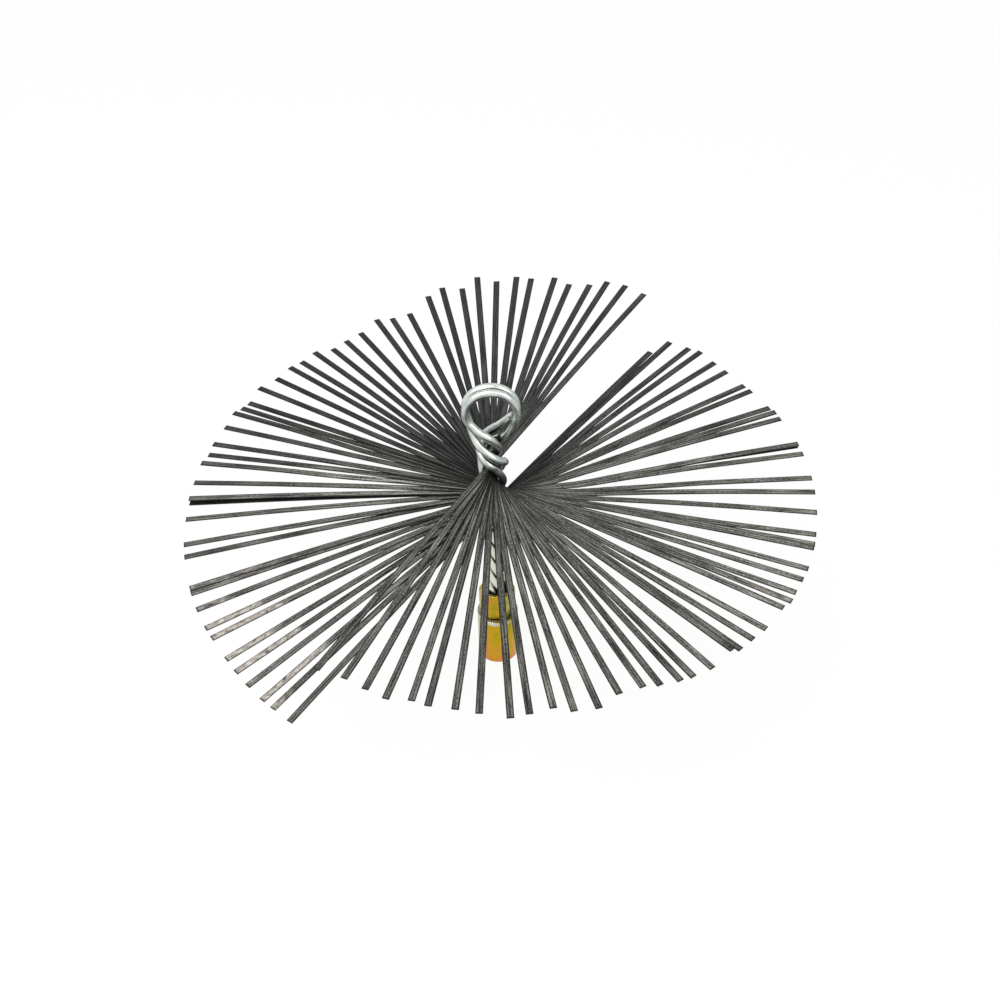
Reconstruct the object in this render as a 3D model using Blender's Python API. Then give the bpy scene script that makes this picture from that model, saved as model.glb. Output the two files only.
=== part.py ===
"""A chimney sweep brush: a wheel of flat spring-steel strips pinched in a twisted wire stem.

All lengths are in metres and Z is up. The origin is the centre of the threaded sleeve's bottom face.
Each strip crosses the stem and has two free ends. From the top of the pack to its bottom the strips
turn by half a circle, so that their ends make one full fan. Two wires, each bent into a U, make the
double eye at the top. Their four legs twist round each other, pass on both sides of every strip, and
end as a tight rope inside the hexagonal collar, whose spigot sits in the threaded sleeve.
"""

import math

import bmesh
import bpy
import numpy as np
from mathutils import Matrix

# Threaded sleeve
SLEEVE_DIAMETER = 0.017
SLEEVE_HEIGHT = 0.0242
SLEEVE_EDGE_ROUND = 0.0012
SOCKET_DIAMETER = 0.0102
SOCKET_DEPTH = 0.0170
SOCKET_LEAD_IN = 0.0008

# Hexagonal collar and the spigot below it
COLLAR_ACROSS_FLATS = 0.013
COLLAR_HEIGHT = 0.0131
COLLAR_CHAMFER_ANGLE = math.radians(30.0)
COLLAR_TURN = math.radians(30.0)
COLLAR_SEAM = 0.0003
MOUTH_DIAMETER = 0.0108
MOUTH_DEPTH = 0.0050
SPIGOT_DIAMETER = 0.0110
SPIGOT_LENGTH = 0.0050
SPIGOT_CLEARANCE = 0.0003
WIRE_END_DEPTH = 0.0150

# Wires, rope and eye
WIRE_DIAMETER = 0.0032
WIRE_CLEARANCE = 0.0003
ROPE_RADIUS = 0.00258
ROPE_PITCH = 0.034
NECK_HEIGHT = 0.0264
EYE_RADIUS = 0.0099
EYE_ARC_BELOW_CENTRE = math.radians(22.0)
PACK_DRIFT = -0.0004
EYE_DRIFT = PACK_DRIFT / 2

# Strips
BRUSH_DIAMETER = 0.250
STRIP_COUNT = 48
STRIP_WIDTH = 0.00265
STRIP_THICKNESS = 0.00028
STRIP_GAP = 0.00018
STRIP_LEAST_GAP = 0.00009
STRIP_TO_WIRE_CLEARANCE = 0.0005
PACK_CENTRE_HEIGHT = 0.0936
TIP_STRAY = 0.010
REACH_STRAY = 0.0015
STRIP_BOW = 0.0025
FIRST_STRIP_ANGLE = math.radians(57.5)
STRIP_TURN = math.radians(3.72)

# Places along half a strip, as shares of the brush's radius
STRIP_STATION_SHARES = (0.0, 0.1, 0.2, 0.29, 0.36, 0.5, 0.7, 1.0)

# How far each strip's far and near end lie round from their even place, as shares of one strip's turn
FAR_LEAN_SHARES = (
    0.0, 0.1, 0.15, 0.15, 0.3, 0.1, 0.4, 0.2, 0.3, 0.35, 0.2, 0.3,
    0.1, 0.2, 0.2, 0.1, 0.1, 0.0, -0.15, 0.0, -0.1, -0.3, -0.3, 0.0,
    -0.1, -0.5, -0.8, -0.9, -0.6, -1.0, -1.1, -0.9, -0.75, -1.6, -1.3, -0.5,
    -0.8, 0.8, 0.1, 0.2, 0.5, 0.3, 0.7, 0.5, 0.4, 0.4, 0.1, 0.1,
)
NEAR_LEAN_SHARES = (
    0.7, 1.05, 1.0, 0.9, 1.05, 0.75, 0.9, 0.9, 1.2, 1.0, 1.0, 0.9,
    1.0, 0.9, 1.0, 0.85, 0.9, 0.6, 0.7, 0.9, 0.5, 0.4, 0.45, 1.1,
    1.2, 0.75, 0.75, 0.6, 1.0, 0.3, -0.2, 0.15, 0.4, 0.35, 1.1, 0.8,
    -0.2, 0.9, 0.4, 0.0, 0.7, 0.3, 0.7, 0.6, 0.6, 0.4, 0.65, 0.85,
)

# How far each tip stands above its strip's middle, as shares of TIP_STRAY
FAR_RISE_SHARES = (
    0.4, 0.6, 0.6, 0.3, 0.2, 0.5, 0.4, 0.5, 0.3, 0.6, 0.1, 0.3,
    0.0, -0.7, -0.7, -0.5, -0.9, -1.0, -1.1, -0.8, -0.9, -0.8, -0.9, -0.7,
    -1.0, -0.9, -0.7, -0.9, -0.95, -1.1, -0.9, -1.1, -1.1, -1.2, -1.1, -1.1,
    -1.2, -0.9, -0.9, -0.9, -0.9, -0.8, -0.9, -1.0, -1.1, -1.2, -1.2, -1.3,
)
NEAR_RISE_SHARES = (
    0.2, 0.3, 0.1, -0.1, 0.1, 0.0, 0.0, -0.1, -0.3, -0.1, 0.1, -0.2,
    -0.3, 0.2, 0.2, 0.0, -0.2, -0.3, -0.4, -0.1, -0.4, -0.4, -0.5, -0.5,
    -0.9, -0.8, -0.8, -0.8, -0.7, -0.6, -0.5, -0.3, -0.1, 0.0, 0.1, 0.2,
    0.15, 0.3, 0.4, 0.3, 0.3, 0.3, 0.4, 0.5, 0.7, 0.6, 0.5, -0.4,
)

# How much further than the others each far and near end reaches, as shares of REACH_STRAY
FAR_REACH_SHARES = (
    0.0, 0.1, 0.0, 0.0, -0.1, -0.2, -0.3, -0.4, -0.4, -0.4, -0.3, -1.0, -0.9, -0.4, 0.0, 0.1,
)
NEAR_REACH_SHARES = (
    0.0, -0.1, 0.0, 0.3, 0.0, 0.1, 0.1, 0.1, 0.1, 1.0, 1.1, 0.7, 0.0, 0.0, -0.1, 0.0,
)

# Route of each leg between the pack and the eye: height as a share of that stretch,
# angle round the stem in degrees, and distance from the axis as a share of the wire's diameter
FRONT_LEFT_SHARES = (
    (0.15, 402.0, 0.85), (0.26, 362.0, 0.75), (0.38, 318.0, 0.82), (0.535, 270.0, 1.04),
    (0.64, 229.0, 1.48), (0.71, 206.0, 2.02), (0.79, 196.0, 2.50),
)
BACK_LEFT_SHARES = (
    (0.07, 340.0, 1.66), (0.145, 312.0, 1.74), (0.31, 259.0, 1.66), (0.475, 206.0, 1.92),
    (0.60, 184.0, 2.26), (0.70, 173.0, 2.56), (0.80, 169.0, 2.84),
)
BACK_RIGHT_SHARES = (
    (0.09, 263.0, 1.53), (0.19, 228.0, 1.50), (0.33, 170.0, 1.45), (0.46, 106.0, 1.45),
    (0.58, 55.0, 1.65), (0.70, 31.0, 2.12), (0.80, 20.0, 2.66),
)
FRONT_RIGHT_SHARES = (
    (0.10, 164.0, 1.50), (0.20, 128.0, 1.50), (0.30, 78.0, 1.40), (0.42, 28.0, 1.40),
    (0.55, 2.0, 1.98), (0.69, -7.0, 2.55), (0.80, -9.0, 2.86),
)

# Smoothness
ROUND_SEGMENTS = 48
EYE_POINTS = 22
ROPE_POINTS = 42
LEG_POINTS = 31
WIRE_BEVEL_RESOLUTION = 3
CUT_OVERRUN = 0.001

# Sizes that follow from the ones above
BRUSH_RADIUS = BRUSH_DIAMETER / 2
WIRE_RADIUS = WIRE_DIAMETER / 2
STRIP_PITCH = STRIP_THICKNESS + STRIP_GAP
PACK_HEIGHT = STRIP_PITCH * (STRIP_COUNT - 1)
PACK_TOP = PACK_CENTRE_HEIGHT + PACK_HEIGHT / 2
PACK_BOTTOM = PACK_CENTRE_HEIGHT - PACK_HEIGHT / 2
PACK_TURN_RATE = STRIP_TURN / STRIP_PITCH
EYE_CENTRE_HEIGHT = PACK_TOP + NECK_HEIGHT
COLLAR_BOTTOM = SLEEVE_HEIGHT + COLLAR_SEAM
COLLAR_TOP = COLLAR_BOTTOM + COLLAR_HEIGHT
ROPE_BORE_RADIUS = ROPE_RADIUS + WIRE_RADIUS + WIRE_CLEARANCE
WIRE_END_HEIGHT = COLLAR_TOP - WIRE_END_DEPTH

# Inside the pack the legs stand clear of the strip's edges and of each other
LEG_ACROSS_STRIP = STRIP_WIDTH / 2 + STRIP_TO_WIRE_CLEARANCE + WIRE_RADIUS + WIRE_CLEARANCE / 2
LEG_ALONG_STRIP = WIRE_RADIUS + 3 * WIRE_CLEARANCE
PACK_LEG_RADIUS = math.hypot(LEG_ALONG_STRIP, LEG_ACROSS_STRIP)
PACK_LEG_ANGLE = math.atan2(LEG_ACROSS_STRIP, LEG_ALONG_STRIP)
ROPE_LEG_ANGLE = math.radians(45.0)
PACK_MARGIN = 2 * WIRE_CLEARANCE
ROPE_EASE = 2 * WIRE_DIAMETER


def clear_scene():
    for old in list(bpy.data.objects):
        bpy.data.objects.remove(old, do_unlink=True)


def make_material(name, colour, roughness, metallic):
    material = bpy.data.materials.new(name)
    material.use_nodes = True
    shader = material.node_tree.nodes["Principled BSDF"]
    shader.inputs["Base Color"].default_value = (*colour, 1.0)
    shader.inputs["Roughness"].default_value = roughness
    shader.inputs["Metallic"].default_value = metallic
    return material


def add_object(name, data, material):
    piece = bpy.data.objects.new(name, data)
    data.materials.append(material)
    bpy.context.scene.collection.objects.link(piece)
    return piece


def mesh_from(name, vertices, faces):
    mesh = bpy.data.meshes.new(name)
    mesh.from_pydata(vertices, [], faces)
    mesh.update()
    return mesh


def smooth_step(low, high, value):
    share = np.clip((value - low) / (high - low), 0.0, 1.0)
    return share * share * (3 - 2 * share)


def spread_value(table, index, count):
    """The value of a table for one of count pieces, also when there are more or fewer pieces than values."""
    places = np.linspace(0.0, count - 1, len(table))
    return float(np.interp(index, places, table))


def smooth_through(xs, ys, wanted):
    """A curve through the points, rising or falling only where they do."""
    xs = np.asarray(xs, float)
    ys = np.asarray(ys, float)
    steps = np.diff(xs)
    slopes = np.diff(ys) / steps
    tangents = np.empty(len(xs))
    tangents[0] = slopes[0]
    tangents[-1] = slopes[-1]
    for i in range(1, len(xs) - 1):
        if slopes[i - 1] * slopes[i] <= 0:
            tangents[i] = 0.0
            continue
        before = 2 * steps[i] + steps[i - 1]
        after = steps[i] + 2 * steps[i - 1]
        tangents[i] = (before + after) / (before / slopes[i - 1] + after / slopes[i])
    wanted = np.asarray(wanted, float)
    span = np.clip(np.searchsorted(xs, wanted) - 1, 0, len(steps) - 1)
    t = (wanted - xs[span]) / steps[span]
    start = (1 + 2 * t) * (1 - t) ** 2 * ys[span] + t * (1 - t) ** 2 * steps[span] * tangents[span]
    end = t * t * (3 - 2 * t) * ys[span + 1] + t * t * (t - 1) * steps[span] * tangents[span + 1]
    return start + end


# Turned shapes

def turned_mesh(name, profile, segments=ROUND_SEGMENTS):
    """A solid of revolution. The profile runs from the axis at the top, down the outside, to the axis."""
    shape = bmesh.new()
    previous = None
    for radius, height in profile:
        if radius == 0:
            ring = [shape.verts.new((0.0, 0.0, height))]
        else:
            ring = []
            for k in range(segments):
                angle = 2 * math.pi * k / segments
                ring.append(shape.verts.new((radius * math.cos(angle), radius * math.sin(angle), height)))
        if previous is not None:
            for k in range(segments):
                after = (k + 1) % segments
                corners = [previous[k % len(previous)], ring[k % len(ring)]]
                if len(ring) > 1:
                    corners.append(ring[after])
                if len(previous) > 1:
                    corners.append(previous[after])
                shape.faces.new(corners)
        previous = ring
    bmesh.ops.recalc_face_normals(shape, faces=shape.faces)
    mesh = bpy.data.meshes.new(name)
    shape.to_mesh(mesh)
    shape.free()
    return mesh


def shade_round(piece, sharp_angle=math.radians(35.0)):
    piece.data.shade_smooth()
    piece.data.set_sharp_from_angle(angle=sharp_angle)


def add_cutter(name, mesh):
    cutter = bpy.data.objects.new(name, mesh)
    cutter.hide_render = True
    cutter.display_type = "WIRE"
    bpy.context.scene.collection.objects.link(cutter)
    return cutter


def add_boolean(piece, cutter, operation):
    step = piece.modifiers.new(f"{operation.lower()} {cutter.name}", "BOOLEAN")
    step.operation = operation
    step.solver = "EXACT"
    step.object = cutter


def quarter_round(radius, height, fillet, count=5):
    """Points of a rounded bottom edge, from the side of a cylinder to its bottom face."""
    points = []
    for k in range(count + 1):
        angle = math.pi / 2 * k / count
        inset = fillet * (1 - math.cos(angle))
        points.append((radius - inset, height + fillet * (1 - math.sin(angle))))
    return points


def add_sleeve(material):
    outer = SLEEVE_DIAMETER / 2
    inner = SOCKET_DIAMETER / 2
    seat = SPIGOT_DIAMETER / 2 + SPIGOT_CLEARANCE
    seat_floor = SLEEVE_HEIGHT - SPIGOT_LENGTH + COLLAR_SEAM - SPIGOT_CLEARANCE
    top_edge = COLLAR_SEAM
    profile = [
        (0.0, seat_floor),
        (seat, seat_floor),
        (seat, SLEEVE_HEIGHT),
        (outer - top_edge, SLEEVE_HEIGHT),
        (outer, SLEEVE_HEIGHT - top_edge),
    ]
    profile += quarter_round(outer, 0.0, SLEEVE_EDGE_ROUND)
    profile += [
        (inner + SOCKET_LEAD_IN, 0.0),
        (inner, SOCKET_LEAD_IN),
        (inner, SOCKET_DEPTH),
        (0.0, SOCKET_DEPTH),
    ]
    sleeve = add_object("threaded_sleeve", turned_mesh("threaded_sleeve", profile), material)
    shade_round(sleeve)
    return sleeve


def add_collar(material):
    corner = COLLAR_ACROSS_FLATS / math.sqrt(3)
    face_radius = COLLAR_ACROSS_FLATS / 2 - COLLAR_SEAM
    drop = (corner + CUT_OVERRUN - face_radius) * math.tan(COLLAR_CHAMFER_ANGLE)
    spigot_bottom = COLLAR_BOTTOM - SPIGOT_LENGTH

    prism = bmesh.new()
    place = Matrix.Translation((0.0, 0.0, (COLLAR_BOTTOM + COLLAR_TOP) / 2))
    place = place @ Matrix.Rotation(COLLAR_TURN, 4, "Z")
    bmesh.ops.create_cone(
        prism, cap_ends=True, segments=6, radius1=corner, radius2=corner, depth=COLLAR_HEIGHT, matrix=place
    )
    mesh = bpy.data.meshes.new("hex_collar")
    prism.to_mesh(mesh)
    prism.free()
    collar = add_object("hex_collar", mesh, material)

    envelope = [
        (0.0, COLLAR_TOP + CUT_OVERRUN),
        (face_radius - CUT_OVERRUN / math.tan(COLLAR_CHAMFER_ANGLE), COLLAR_TOP + CUT_OVERRUN),
        (corner + CUT_OVERRUN, COLLAR_TOP - drop),
        (corner + CUT_OVERRUN, COLLAR_BOTTOM + drop),
        (face_radius - CUT_OVERRUN / math.tan(COLLAR_CHAMFER_ANGLE), COLLAR_BOTTOM - CUT_OVERRUN),
        (0.0, COLLAR_BOTTOM - CUT_OVERRUN),
    ]
    add_boolean(collar, add_cutter("collar_envelope", turned_mesh("collar_envelope", envelope)), "INTERSECT")

    spigot_radius = SPIGOT_DIAMETER / 2
    spigot = [
        (0.0, COLLAR_BOTTOM + CUT_OVERRUN),
        (spigot_radius, COLLAR_BOTTOM + CUT_OVERRUN),
        (spigot_radius, spigot_bottom + COLLAR_SEAM),
        (spigot_radius - COLLAR_SEAM, spigot_bottom),
        (0.0, spigot_bottom),
    ]
    add_boolean(collar, add_cutter("collar_spigot", turned_mesh("collar_spigot", spigot)), "UNION")

    mouth = MOUTH_DIAMETER / 2
    overrun_radius = mouth + (mouth - ROPE_BORE_RADIUS) * CUT_OVERRUN / MOUTH_DEPTH
    bore = [
        (0.0, COLLAR_TOP + CUT_OVERRUN),
        (overrun_radius, COLLAR_TOP + CUT_OVERRUN),
        (ROPE_BORE_RADIUS, COLLAR_TOP - MOUTH_DEPTH),
        (ROPE_BORE_RADIUS, spigot_bottom - CUT_OVERRUN),
        (0.0, spigot_bottom - CUT_OVERRUN),
    ]
    add_boolean(collar, add_cutter("collar_bore", turned_mesh("collar_bore", bore)), "DIFFERENCE")
    shade_round(collar)
    return collar


# Twisted wires

def stem_turn(height):
    """Angle of the near half of a strip at a height, carried on down the rope."""
    near_angle = FIRST_STRIP_ANGLE + math.pi
    rope_rate = 2 * math.pi / ROPE_PITCH
    in_pack = PACK_TURN_RATE * (PACK_TOP - np.maximum(height, PACK_BOTTOM))
    in_rope = rope_rate * (PACK_BOTTOM - np.minimum(height, PACK_BOTTOM))
    return near_angle + in_pack + in_rope


def stem_drift(height):
    """How far the stem stands towards +X at a height. It leaves the collar straight."""
    to_pack = PACK_DRIFT * smooth_step(COLLAR_TOP, PACK_BOTTOM, height)
    return to_pack + (EYE_DRIFT - PACK_DRIFT) * smooth_step(PACK_TOP, EYE_CENTRE_HEIGHT, height)


def leg_place(height, along, across):
    """Angle and distance from the axis of one leg in the pack and the rope below it."""
    tight = 1 - smooth_step(PACK_BOTTOM - PACK_MARGIN - ROPE_EASE, PACK_BOTTOM - PACK_MARGIN, height)
    opening = PACK_LEG_ANGLE + (ROPE_LEG_ANGLE - PACK_LEG_ANGLE) * tight
    radius = PACK_LEG_RADIUS + (ROPE_RADIUS - PACK_LEG_RADIUS) * tight
    side = np.where(along > 0, across * opening, math.pi - across * opening)
    return stem_turn(height) + side, radius


def leg_points(shares, along, across, eye_side):
    """Points of one leg, from its end in the collar up to where the eye's arc starts."""
    arc_height = EYE_CENTRE_HEIGHT - EYE_RADIUS * math.sin(EYE_ARC_BELOW_CENTRE)
    lead = PACK_TOP + PACK_MARGIN
    pack_angle, pack_radius = leg_place(np.array([lead - PACK_MARGIN / 2, lead]), along, across)
    turn = 2 * math.pi * round((pack_angle[1] - math.radians(shares[0][1])) / (2 * math.pi))
    heights = [lead - PACK_MARGIN / 2, lead]
    angles = list(pack_angle - turn)
    radii = [float(pack_radius[0]), float(pack_radius[1])]
    for height_share, degrees, radius_share in shares:
        heights.append(lead + height_share * (EYE_CENTRE_HEIGHT - lead))
        angles.append(math.radians(degrees))
        radii.append(radius_share * WIRE_DIAMETER)
    eye_offset = WIRE_RADIUS + WIRE_CLEARANCE
    side = -1 if math.cos(angles[-1]) < 0 else 1
    for share in (1.0, 0.5):
        below = EYE_ARC_BELOW_CENTRE * share
        x = side * EYE_RADIUS * math.cos(below)
        y = eye_side * eye_offset
        heights.append(EYE_CENTRE_HEIGHT - EYE_RADIUS * math.sin(below))
        angle = math.atan2(y, x)
        angle += 2 * math.pi * round((angles[-1] - angle) / (2 * math.pi))
        angles.append(angle)
        radii.append(math.hypot(x, y))
    low = np.linspace(WIRE_END_HEIGHT, lead, ROPE_POINTS, endpoint=False)
    high = np.linspace(lead, arc_height, LEG_POINTS, endpoint=False)
    low_angle, low_radius = leg_place(low, along, across)
    angle = np.concatenate([low_angle - turn, smooth_through(heights, angles, high)])
    radius = np.concatenate([low_radius * np.ones(len(low)), smooth_through(heights, radii, high)])
    height = np.concatenate([low, high])
    return np.stack([radius * np.cos(angle) + stem_drift(height), radius * np.sin(angle), height], axis=1)


def eye_points(eye_side):
    """The eye's arc, from its lower left over the top to its lower right."""
    angles = np.linspace(math.pi + EYE_ARC_BELOW_CENTRE, -EYE_ARC_BELOW_CENTRE, EYE_POINTS)
    offset = eye_side * (WIRE_RADIUS + WIRE_CLEARANCE)
    height = EYE_CENTRE_HEIGHT + EYE_RADIUS * np.sin(angles)
    across = EYE_RADIUS * np.cos(angles) + stem_drift(height)
    return np.stack([across, np.full(EYE_POINTS, offset), height], axis=1)


def add_wire(name, left_shares, right_shares, eye_side, material):
    left = leg_points(left_shares, -1, eye_side, eye_side)
    right = leg_points(right_shares, 1, eye_side, eye_side)
    route = np.concatenate([left, eye_points(eye_side), right[::-1]])
    curve = bpy.data.curves.new(name, "CURVE")
    curve.dimensions = "3D"
    curve.bevel_depth = WIRE_RADIUS
    curve.bevel_resolution = WIRE_BEVEL_RESOLUTION
    curve.use_fill_caps = True
    spline = curve.splines.new("POLY")
    spline.points.add(len(route) - 1)
    for point, place in zip(spline.points, route):
        point.co = (*place, 1.0)
    return add_object(name, curve, material)


# Strips

def half_strip_line(tip_angle, tip_reach):
    """Direction and stations of half a strip, which runs straight from the stem to its tip."""
    x = tip_reach * math.cos(tip_angle) - PACK_DRIFT
    y = tip_reach * math.sin(tip_angle)
    direction = tip_angle + math.remainder(math.atan2(y, x) - tip_angle, 2 * math.pi)
    stations = np.array(STRIP_STATION_SHARES) * BRUSH_RADIUS
    stations[-1] = math.hypot(x, y)
    return direction, stations


def half_strip_heights(middle, rise, reach, above, angle_to_above):
    """Heights along half a strip. Where it lies under the strip above, it keeps clear of it."""
    shares = reach / BRUSH_RADIUS
    wanted = middle + rise * shares + STRIP_BOW * (shares - shares * shares)
    if above is None:
        return wanted
    parting = BRUSH_RADIUS
    if math.sin(angle_to_above) * BRUSH_RADIUS > STRIP_WIDTH + STRIP_GAP:
        parting = (STRIP_WIDTH + STRIP_GAP) / math.sin(angle_to_above)
    excess = np.maximum(wanted - (above - STRIP_THICKNESS - STRIP_LEAST_GAP), 0.0)
    last_under = min(int(np.searchsorted(reach, parting)), len(reach) - 1)
    free_length = max(reach[-1] - reach[last_under], STRIP_WIDTH)
    beyond = np.clip((reach - reach[last_under]) / free_length, 0.0, 1.0)
    fading = excess[last_under] * (1 - beyond) ** 2
    return wanted - np.where(np.arange(len(reach)) <= last_under, excess, fading)


def half_strip(index, middle, even_angle, leans, rises, reaches, above):
    """Direction, stations and heights of one half of a strip, which lies under the half above it."""
    tip_angle = even_angle + STRIP_TURN * spread_value(leans, index, STRIP_COUNT)
    tip_reach = BRUSH_RADIUS + REACH_STRAY * spread_value(reaches, index, STRIP_COUNT)
    rise = TIP_STRAY * spread_value(rises, index, STRIP_COUNT)
    direction, stations = half_strip_line(tip_angle, tip_reach)
    if above is None:
        return direction, stations, half_strip_heights(middle, rise, stations, None, 0.0)
    above_direction, _, above_heights = above
    heights = half_strip_heights(middle, rise, stations, above_heights, direction - above_direction)
    return direction, stations, heights


def strip_mesh(name, far, near):
    """A flat strip with square ends, as a row of rectangles from the near tip to the far tip."""
    far_angle, far_stations, far_heights = far
    near_angle, near_stations, near_heights = near
    middle_angle = (far_angle + near_angle - math.pi) / 2
    rows = []
    for distance, height in zip(near_stations[:0:-1], near_heights[:0:-1]):
        rows.append((distance, near_angle, near_angle + math.pi, height))
    rows.append((0.0, middle_angle, middle_angle, (far_heights[0] + near_heights[0]) / 2))
    for distance, height in zip(far_stations[1:], far_heights[1:]):
        rows.append((distance, far_angle, far_angle, height))
    vertices = []
    half_width = STRIP_WIDTH / 2
    half_thickness = STRIP_THICKNESS / 2
    for distance, place_angle, along_angle, height in rows:
        x = PACK_DRIFT + distance * math.cos(place_angle)
        y = distance * math.sin(place_angle)
        side_x = -math.sin(along_angle) * half_width
        side_y = math.cos(along_angle) * half_width
        vertices.append((x - side_x, y - side_y, height - half_thickness))
        vertices.append((x + side_x, y + side_y, height - half_thickness))
        vertices.append((x + side_x, y + side_y, height + half_thickness))
        vertices.append((x - side_x, y - side_y, height + half_thickness))
    faces = [(3, 2, 1, 0)]
    for k in range(len(rows) - 1):
        base = 4 * k
        for corner in range(4):
            after = (corner + 1) % 4
            faces.append((base + corner, base + after, base + 4 + after, base + 4 + corner))
    last = 4 * (len(rows) - 1)
    faces.append((last, last + 1, last + 2, last + 3))
    mesh = mesh_from(name, vertices, faces)
    shape = bmesh.new()
    shape.from_mesh(mesh)
    bmesh.ops.recalc_face_normals(shape, faces=shape.faces)
    shape.to_mesh(mesh)
    shape.free()
    return mesh


def add_strips(material):
    far = None
    near = None
    strips = []
    for i in range(STRIP_COUNT):
        middle = PACK_TOP - i * STRIP_PITCH
        even_angle = FIRST_STRIP_ANGLE + i * STRIP_TURN
        far = half_strip(i, middle, even_angle, FAR_LEAN_SHARES, FAR_RISE_SHARES, FAR_REACH_SHARES, far)
        near_angle = even_angle + math.pi
        near = half_strip(i, middle, near_angle, NEAR_LEAN_SHARES, NEAR_RISE_SHARES, NEAR_REACH_SHARES, near)
        name = f"strip_{i + 1:02d}"
        strips.append(add_object(name, strip_mesh(name, far, near), material))
    return strips


clear_scene()
spring_steel = make_material("spring_steel", (0.09, 0.088, 0.082), 0.42, 0.9)
galvanised_wire = make_material("galvanised_wire", (0.62, 0.64, 0.63), 0.30, 1.0)
yellow_zinc = make_material("yellow_zinc", (0.62, 0.44, 0.10), 0.28, 1.0)
add_sleeve(yellow_zinc)
add_collar(yellow_zinc)
add_wire("front_wire", FRONT_LEFT_SHARES, FRONT_RIGHT_SHARES, -1, galvanised_wire)
add_wire("back_wire", BACK_LEFT_SHARES, BACK_RIGHT_SHARES, 1, galvanised_wire)
add_strips(spring_steel)
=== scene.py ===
"""The chimney sweep brush, dressed for the photograph's view.

Lengths are in metres. Each CAD strip and wire is replaced by a finer one on the same route, and the
sleeve and the collar by finer turned and milled pieces with the same sizes. The strips are a little thicker
than in the CAD model and lean towards the viewer, and the wires' legs stand slightly nearer to the axis.
"""

import math

import bmesh
import bpy
import numpy as np
from mathutils import Matrix, Vector


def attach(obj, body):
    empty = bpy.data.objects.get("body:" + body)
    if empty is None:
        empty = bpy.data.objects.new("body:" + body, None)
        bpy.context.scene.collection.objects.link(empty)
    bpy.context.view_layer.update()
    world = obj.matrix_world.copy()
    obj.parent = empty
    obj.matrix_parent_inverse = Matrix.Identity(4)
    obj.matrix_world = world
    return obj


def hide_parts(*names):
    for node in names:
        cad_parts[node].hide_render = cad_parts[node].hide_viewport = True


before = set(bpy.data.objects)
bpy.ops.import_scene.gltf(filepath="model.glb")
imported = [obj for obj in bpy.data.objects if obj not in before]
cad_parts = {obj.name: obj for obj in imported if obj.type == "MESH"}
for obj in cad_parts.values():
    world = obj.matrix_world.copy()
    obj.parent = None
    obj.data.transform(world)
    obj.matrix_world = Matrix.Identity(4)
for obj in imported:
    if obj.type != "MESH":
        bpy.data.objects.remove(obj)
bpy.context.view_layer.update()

SEED = 7

# Sizes repeated from the CAD model
SLEEVE_RADIUS = 0.0085
SLEEVE_HEIGHT = 0.0242
SLEEVE_EDGE_ROUND = 0.0012
SOCKET_RADIUS = 0.0051
SOCKET_DEPTH = 0.0170
COLLAR_ACROSS_FLATS = 0.013
COLLAR_BOTTOM = 0.0245
COLLAR_TOP = 0.0376
COLLAR_FACE_RADIUS = 0.0062
COLLAR_CHAMFER_SLOPE = math.tan(math.radians(30.0))
MOUTH_RADIUS = 0.0054
MOUTH_DEPTH = 0.0050
SPIGOT_RADIUS = 0.0055
SPIGOT_LENGTH = 0.0050
SEAT_RADIUS = 0.0058
SEAT_FLOOR = 0.0192
ROPE_BORE_RADIUS = 0.00448
STRIP_COUNT = 48
STRIP_WIDTH = 0.00265
FIRST_STRIP_ANGLE = math.radians(57.5)
STRIP_TURN = math.radians(3.72)

# How far the finer pieces stay inside the CAD model's box
BOX_MARGIN = 0.00008

# Finer details of the connector
SLEEVE_SEGMENTS = 96
COLLAR_SEGMENTS = 144
EDGE_ROUND = 0.0003
SPIGOT_EDGE_ROUND = 0.0002
EDGE_SOFTNESS = 0.00022
THREAD_PITCH = 0.00175
THREAD_ROOT_RADIUS = 0.0060
THREAD_MOUTH_RADIUS = 0.0063
THREAD_FLANK_SLOPE = 1.35
THREAD_CREST_SHARE = 0.12
THREAD_RUN_OUT_HEIGHT = 0.0145
THREAD_RUN_OUT_LENGTH = 0.001
THREAD_STEP = 0.00012

# Finer details of the wires
WIRE_SIDES = 24
WIRE_STEP = 0.00045
WIRE_MAP_LENGTH = 0.01
WIRE_END_SHARE = 0.86
ROUTE_SMOOTHINGS = 6
# Reach of the painted shade where wires meet, and how much further it reaches in the neck
CREVICE_REACH = 0.0009
NECK_CREVICE_GAIN = 0.4
NECK_SWELL = 0.07
# Direction of the painted light and shade on the wires
PAINTED_LIGHT_DIRECTION = (-0.30, -0.55, 0.78)

# Finer details of the strips
STRIP_STATIONS = 36
STRIP_THICKNESS = 0.00036
STRIP_TWIST = math.radians(1.5)
TWIST_START = 0.25
FACE_LEAN = math.radians(4.0)
PATTERN_SHIFT = 0.37
STEEL_GAIN = 0.80
LIGHT_SPREAD = 0.10
WEAR_LEAD = 0.08
WEAR_SPAN = 0.22

rng = np.random.default_rng(SEED)


# Materials

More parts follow.
